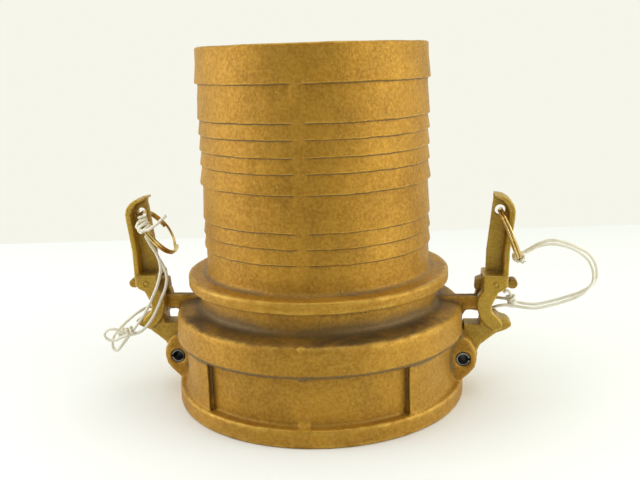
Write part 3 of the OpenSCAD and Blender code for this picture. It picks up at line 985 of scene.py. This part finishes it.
# ---- gasket and pins ----
def make_gasket():
    low, high, outer, inner = 48.62, 54.95, 89.7, 76.2
    section = [(inner + 0.7, low), (80, low), (80.6, low + 0.5), (82, low + 0.5), (82.6, low),
               (outer - 0.7, low), (outer - 0.2, low + 0.2), (outer, low + 0.7), (outer, high - 0.7),
               (outer - 0.2, high - 0.2), (outer - 0.7, high), (inner + 0.7, high), (inner + 0.2, high - 0.2),
               (inner, high - 0.7), (inner, low + 3.4), (inner - 0.12, low + 3.2), (inner, low + 3.0),
               (inner, low + 0.7), (inner + 0.2, low + 0.2)]
    place("gasket_seal", new_mesh("gasket_seal", *turned(section, 240)), RUBBER, "coupler", "gasket")


def roll_pin_ring(y, out, sides):
    """The pin's cross-section at y: round outside, hollow, and open along one side."""
    rows = []
    bore = PIN_R - PIN_WALL + out * 0.4
    for radius, at_slot in ((PIN_R - out, PIN_R), (bore, bore)):
        slot = math.asin(PIN_SLOT / 2 / at_slot)
        angles = np.linspace(slot, 2 * math.pi - slot, sides)
        rows.append([(PIVOT[0] + radius * math.cos(a), y, PIVOT[1] + radius * math.sin(a)) for a in angles])
    return rows[0] + rows[1][::-1]


def make_pivot_pin(side):
    sides, half = 40, 19.7
    stations = [(-half, 0.55), (-half + 0.35, 0.2), (-half + 1.1, 0.0), (0, 0.0), (half - 1.1, 0.0),
                (half - 0.35, 0.2), (half, 0.55)]
    points, faces = [], []
    for y, out in stations:
        points += roll_pin_ring(y, out, sides)
    around = 2 * sides
    for s in range(len(stations) - 1):
        for k in range(around):
            a, b = s * around + k, s * around + (k + 1) % around
            faces.append((a, a + around, b + around, b))
    last = (len(stations) - 1) * around
    for k in range(sides - 1):
        faces.append((k, k + 1, around - 2 - k, around - 1 - k))
        faces.append((last + k, last + around - 1 - k, last + around - 2 - k, last + k + 1))
    mesh = new_mesh("roll_pin_" + side, on_side(side, np.array(points)), faces)
    sharp_edges(place("roll_pin_" + side, mesh, PIN_STEEL, "coupler", "pivot_pin_" + side), 35)


def sharp_edges(piece, degrees):
    """Keeps the edges sharper than that angle crisp."""
    piece.data.set_sharp_from_angle(angle=math.radians(degrees))


def make_latch_pin(side):
    half = 12.68
    section = [(0.02, -half), (1.5, -half), (LATCH_PIN_R, 0.4 - half), (LATCH_PIN_R, half - 0.4), (1.5, half),
               (0.02, half)]
    points, faces = turned(section, 28)
    faces = faces.reshape(len(section), 28, 4)[:-1].reshape(-1, 4)
    points = np.stack([points[:, 0] + LATCH[0], -points[:, 2], points[:, 1] + LATCH[1]], 1)
    mesh = new_mesh("cross_pin_" + side, on_side(side, points), faces)
    sharp_edges(place("cross_pin_" + side, mesh, BRASS, "arm_" + side, "latch_pin_" + side), 40)


# ---- cam arms ----
CAM = [
    (89.5, 22.2), (98.8, 17.95), (106, 19.3), (112.9, 34.6), (123.7, 43.3), (130.6, 45.9),
    (133.6, 47.9), (134, 50.2), (131.3, 52.6), (126.3, 54.2), (122.6, 56.4), (113, 56.4), (112.5, 49.3),
    (101.6, 49.3), (101.5, 46), (93, 40.2), (86.6, 33.9)]
CHEEK = [
    (114.2, 85.5), (130.9, 85.5), (130.7, 78), (128.5, 75.4), (124.4, 73.5), (122.3, 69.2),
    (120.1, 64.4), (120, 61), (121.5, 58.3), (125.5, 54.4), (127.6, 51), (126.6, 47.9), (121.7, 45.6),
    (116, 50.2), (112.2, 55.1), (110.5, 60.6), (109.7, 66), (110.7, 70.7), (113.5, 74.5)]
FLANGE = [
    (127.2, 85), (130.9, 85), (131.4, 101), (134.4, 123), (135, 129.5), (133.8, 133.8), (131, 137.2),
    (127.5, 139.4), (121.2, 140.6), (121.7, 138.8), (126.6, 136.6), (129.6, 133), (130.9, 129),
    (130.6, 123), (127.7, 101)]
WEB = [
    (116.4, 84.5), (116.8, 101), (119.6, 126), (120.4, 133), (121.4, 139.4), (127, 138), (131, 133),
    (132, 123), (129, 101), (128.7, 84.5)]


def arm_shape(p):
    """The cam between the ears, two cheeks past the boss, the block, and the handle's flange and web."""
    x, y, z = p[:, 0], np.abs(p[:, 1]), p[:, 2]
    cam = np.minimum(outline_gap(x, z, CAM), circle_gap(x, z, PIVOT, 10.6))
    cam = melt(cam, circle_gap(x, z, (89.5, PIVOT[1]), 6.2), 1.0)
    solid = plate(cam, y, 7.5, 0.9)
    solid = melt(solid, plate(outline_gap(x, z, CHEEK), y, 12.7, 1.3), 1.5)
    half = 12.3 - 1.9 * smooth(z, 92, 117)
    flange = plate(outline_gap(x, z, FLANGE), y, half, 0.9)
    handle = melt(flange, plate(outline_gap(x, z, WEB), y, 2.3, 0.4), 2.5)
    solid = melt(solid, handle, 2.0)
    slot = both(np.abs(z - 69.9) - 13.5, y - 5.0, 0.6)
    solid = carve(solid, slot, 0.6)
    solid = carve(solid, circle_gap(x, z, PIVOT, PIN_R + 0.06), 0.2)
    solid = carve(solid, circle_gap(x, z, LATCH, LATCH_PIN_R + 0.03), 0.1)
    # the outer face stays flat where the thumb tail swings past it
    solid = np.where(z > 66, np.maximum(solid, x - 130.85 - 0.25 * np.clip(z - 86, 0, 60)), solid)
    return carve(solid, both(circle_gap(x, z, EYE, EYE_R), y - 4.5, 0.1), 1.0)


def make_arm(side, points, faces):
    x, z = points[:, 0], points[:, 2]
    from_latch = circle_gap(x, z, LATCH, 0)
    keep = smooth(circle_gap(x, z, PIVOT, 0), 12, 16) * smooth(from_latch, 2.2, 4)
    keep = np.where((x > 129.5) & (np.abs(z - 80) < 9), 0.0, keep)
    seed = 31 if side == "right" else 41
    points = roughen(points, faces, [(9, 0.12), (3.2, 0.06), (1.6, 0.03)], seed, keep)
    points = on_side(side, points)
    edge, hollow, shelf = wear_and_light_values(points, faces, 3)
    wear_and_light = (edge * smooth(from_latch, 2.6, 4.5), hollow * smooth(from_latch, 2.6, 4.5), shelf)
    cast_piece("cam_lever_" + side, points, faces, wear_and_light, BRASS, "arm_" + side, "cam_arm_" + side)


# ---- latch fingers ----
FINGER = [
    (122.3, 83.1), (113, 82.4), (109.4, 81), (108.8, 74.2), (111.3, 73.6), (113.4, 77), (122.3, 75.9),
    (131, 75.5), (134, 74.3), (134, 80.9), (131, 79.4), (126, 79.8)]


def finger_shape(p):
    """The latch: a nose over the boss, a hub on its pin and a round thumb tail."""
    x, y, z = p[:, 0], p[:, 1], p[:, 2]
    flat = melt(outline_gap(x, z, FINGER), circle_gap(x, z, LATCH, 3.6), 0.8)
    flat = melt(flat, circle_gap(x, z, (134.75, 77.6), 3.25), 0.4)
    solid = plate(flat, y, 4.7, 0.8)
    relief = np.maximum(np.abs(x - 121.9) - 4.6, np.maximum(0.5 - y, np.abs(z - 79.5) - 6))
    solid = carve(solid, relief, 0.3)
    return carve(solid, circle_gap(x, z, LATCH, LATCH_PIN_R + 0.06), 0.1)


def make_finger(side, points, faces):
    points = roughen(points, faces, [(5, 0.06), (2, 0.03)], 51 if side == "right" else 61)
    points = on_side(side, points)
    wear_and_light = wear_and_light_values(points, faces, 3)
    name = "latch_lever_" + side
    cast_piece(name, points, faces, wear_and_light, FINGER_BRASS, "finger_" + side, "latch_finger_" + side)


# ---- springs and pull rings ----
def make_spring(side):
    wire, radius, turns, pitch, steps = 0.4, LATCH_PIN_R + 0.7, 3.5, 0.92, 24
    path = [(LATCH[0] + 4.5, 1.2, LATCH[1] + radius), (LATCH[0] + 2.2, 1.2, LATCH[1] + radius)]
    for i in range(int(turns * steps) + 1):
        a = math.radians(90 + 360 * i / steps)
        y = 1.2 + pitch * i / steps
        path.append((LATCH[0] + radius * math.cos(a), y, LATCH[1] + radius * math.sin(a)))
    name = "torsion_spring_" + side
    path = on_side(side, np.array(path))
    mesh = grown(name, path, WIRE_TREE, SPRING_STEEL, Wire_radius=wire * MM, Sides=10)
    place(name, mesh, SPRING_STEEL, "arm_" + side, "latch_spring_" + side)


def make_pull_ring(side, joint_at):
    """Two turns of wire side by side. The wire steps across where its two ends stop."""
    turns = np.arange(31, 690, 3.0)
    across = 0.96 * np.clip((turns - 360) / 26, -1, 1)
    path = np.array([ring_point(side, t + joint_at, 0.0, a) for t, a in zip(turns, across)])
    name = "split_ring_" + side
    mesh = grown(name, path, WIRE_TREE, RING_BRASS, Wire_radius=RING_WIRE / 2 * MM * 0.985, Sides=16)
    sharp_edges(place(name, mesh, RING_BRASS, "ring_" + side, "pull_ring_" + side), 60)


make_body()
make_shank()
make_gasket()
ARM_POINTS, ARM_FACES = skin(arm_shape, (81, -14.5, 15.5), (137, 14.5, 146), 0.62)
FINGER_POINTS, FINGER_FACES = skin(finger_shape, (106.5, -6, 71.5), (141, 6, 85), 0.42)
for hand in ("right", "left"):
    make_arm(hand, ARM_POINTS, ARM_FACES)
    make_finger(hand, FINGER_POINTS, FINGER_FACES)
    make_pivot_pin(hand)
    make_latch_pin(hand)
    make_spring(hand)
make_pull_ring("right", 150.0)
make_pull_ring("left", -60.0)


# ---- floor and light ----
def floor_finish():
    """A pale surface that turns a little warmer along X."""
    material, tree, surface = new_material("floor_white")
    at = object_place(tree)
    x = add(tree, "ShaderNodeSeparateXYZ", {0: at}).outputs["X"]
    mottle = noise(tree, at, 6.0, 4.0, 0.6)
    along = between(tree, maths(tree, "ADD", x, times(tree, mottle, 0.1)), -0.4, 0.5)
    colour = mixed(tree, along, shade(247, 250, 250), shade(247, 251, 246))
    normal = bump(tree, noise(tree, at, 420.0, 3.0, 0.6), 0.1, 0.0002)
    send(tree, surface, Base_Color=colour, Roughness=0.75, Normal=normal)
    return material


def make_floor():
    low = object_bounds()[0].z
    back = 0.517
    turn = Matrix.Rotation(math.radians(PART_TURN), 3, "Z")
    corners = ((-3, -3, low), (3, -3, low), (3, back, low), (-3, back, low))
    mesh = bpy.data.meshes.new("floor")
    mesh.from_pydata([turn @ Vector(p) for p in corners], [], [(0, 1, 2, 3)])
    sheet = in_scene("floor", mesh)
    mesh.materials.append(floor_finish())


def area_light(name, at, toward, width, height, watts, tint):
    light = bpy.data.lights.new(name, "AREA")
    light.shape = "RECTANGLE"
    light.size = width
    light.size_y = height
    light.energy = watts
    light.color = tint
    lamp = in_scene(name, light)
    lamp.location = at
    lamp.rotation_euler = (Vector(toward) - Vector(at)).to_track_quat("-Z", "Y").to_euler()


def make_world():
    """A white tent, dimmer on the side where the camera stands and brightest behind the coupler."""
    world = bpy.data.worlds.new("tent")
    world.use_nodes = True
    tree = world.node_tree
    toward = add(tree, "ShaderNodeTexCoord").outputs["Generated"]
    front = add(tree, "ShaderNodeSeparateXYZ", {0: toward}).outputs["Y"]
    share = between(tree, front, -0.95, -0.1, 0.0, 1.0)
    colour = mixed(tree, share, (0.30, 0.29, 0.27, 1.0), (0.96, 0.955, 0.93, 1.0))
    colour = mixed(tree, between(tree, front, 0.1, 0.6), colour, (1.487, 1.487, 1.34, 1.0))
    feed(tree, tree.nodes["Background"], {0: colour, 1: 0.62})
    bpy.context.scene.world = world


def make_lights():
    middle = (0, 0, 0.12)
    area_light("left_box", (-1.1, -0.25, 0.5), middle, 0.8, 0.9, 7.0, (1.0, 0.99, 0.96))
    area_light("right_box", (1.1, -0.25, 0.5), middle, 0.8, 0.9, 7.0, (1.0, 0.99, 0.95))
    area_light("top_box", (0, -0.1, 1.4), middle, 1.4, 1.2, 6.5, (1.0, 1.0, 0.98))
    make_world()
    bpy.context.scene.view_settings.view_transform = "Standard"


make_floor()
make_lights()
